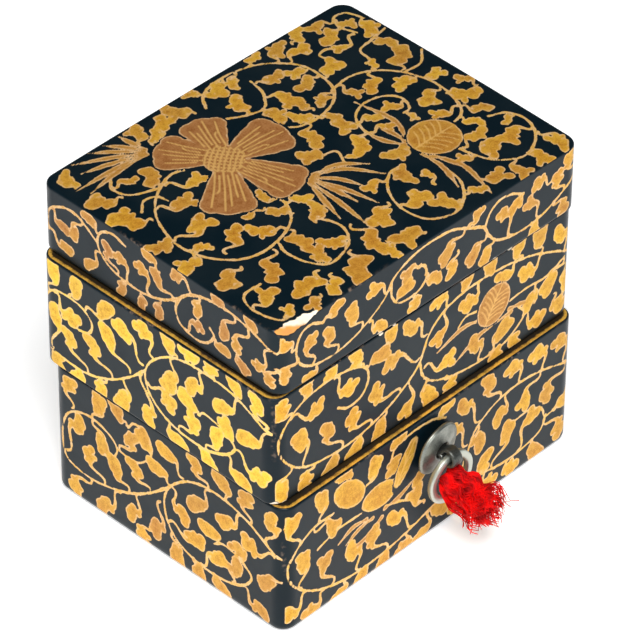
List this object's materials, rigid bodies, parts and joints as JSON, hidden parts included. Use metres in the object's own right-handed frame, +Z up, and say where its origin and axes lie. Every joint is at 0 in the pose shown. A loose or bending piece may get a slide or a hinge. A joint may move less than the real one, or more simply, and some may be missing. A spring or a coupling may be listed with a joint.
{
  "type": "lacquer stacking box",
  "caption": "Small hollow lacquered box of stacked trays with a tall lift-off lid, and a swinging pull ring with a silk tuft on the front.",
  "frame": {"origin": "middle of the lower tray's flat underside", "axes": "+Z up, -Y towards the face with the pull ring, +X along the box's length"},
  "size_m": [0.0774, 0.0757, 0.0694],
  "materials": {
    "lacquer": "black lacquer on wood with a gold scroll pattern and gold rims, worn at the edges",
    "dark_metal": "dull pewter-grey metal, slightly polished",
    "ring_metal": "rubbed grey metal",
    "silk": "bright red frayed silk threads"
  },
  "bodies": {
    "box": {"lower_tray": "lacquer", "upper_tray": "lacquer", "lid": "lacquer", "ring_plate": "dark_metal", "ring_eye": "dark_metal"},
    "pull_ring": {"ring": "ring_metal", "tassel": "silk"}
  },
  "joints": [
    {"name": "ring_swing", "type": "hinge", "parent": "box", "child": "pull_ring", "pos_m": [0, -0.03375, 0.0217], "axis": [-1, 0, 0], "range_deg": [-10, 100]}
  ]
}
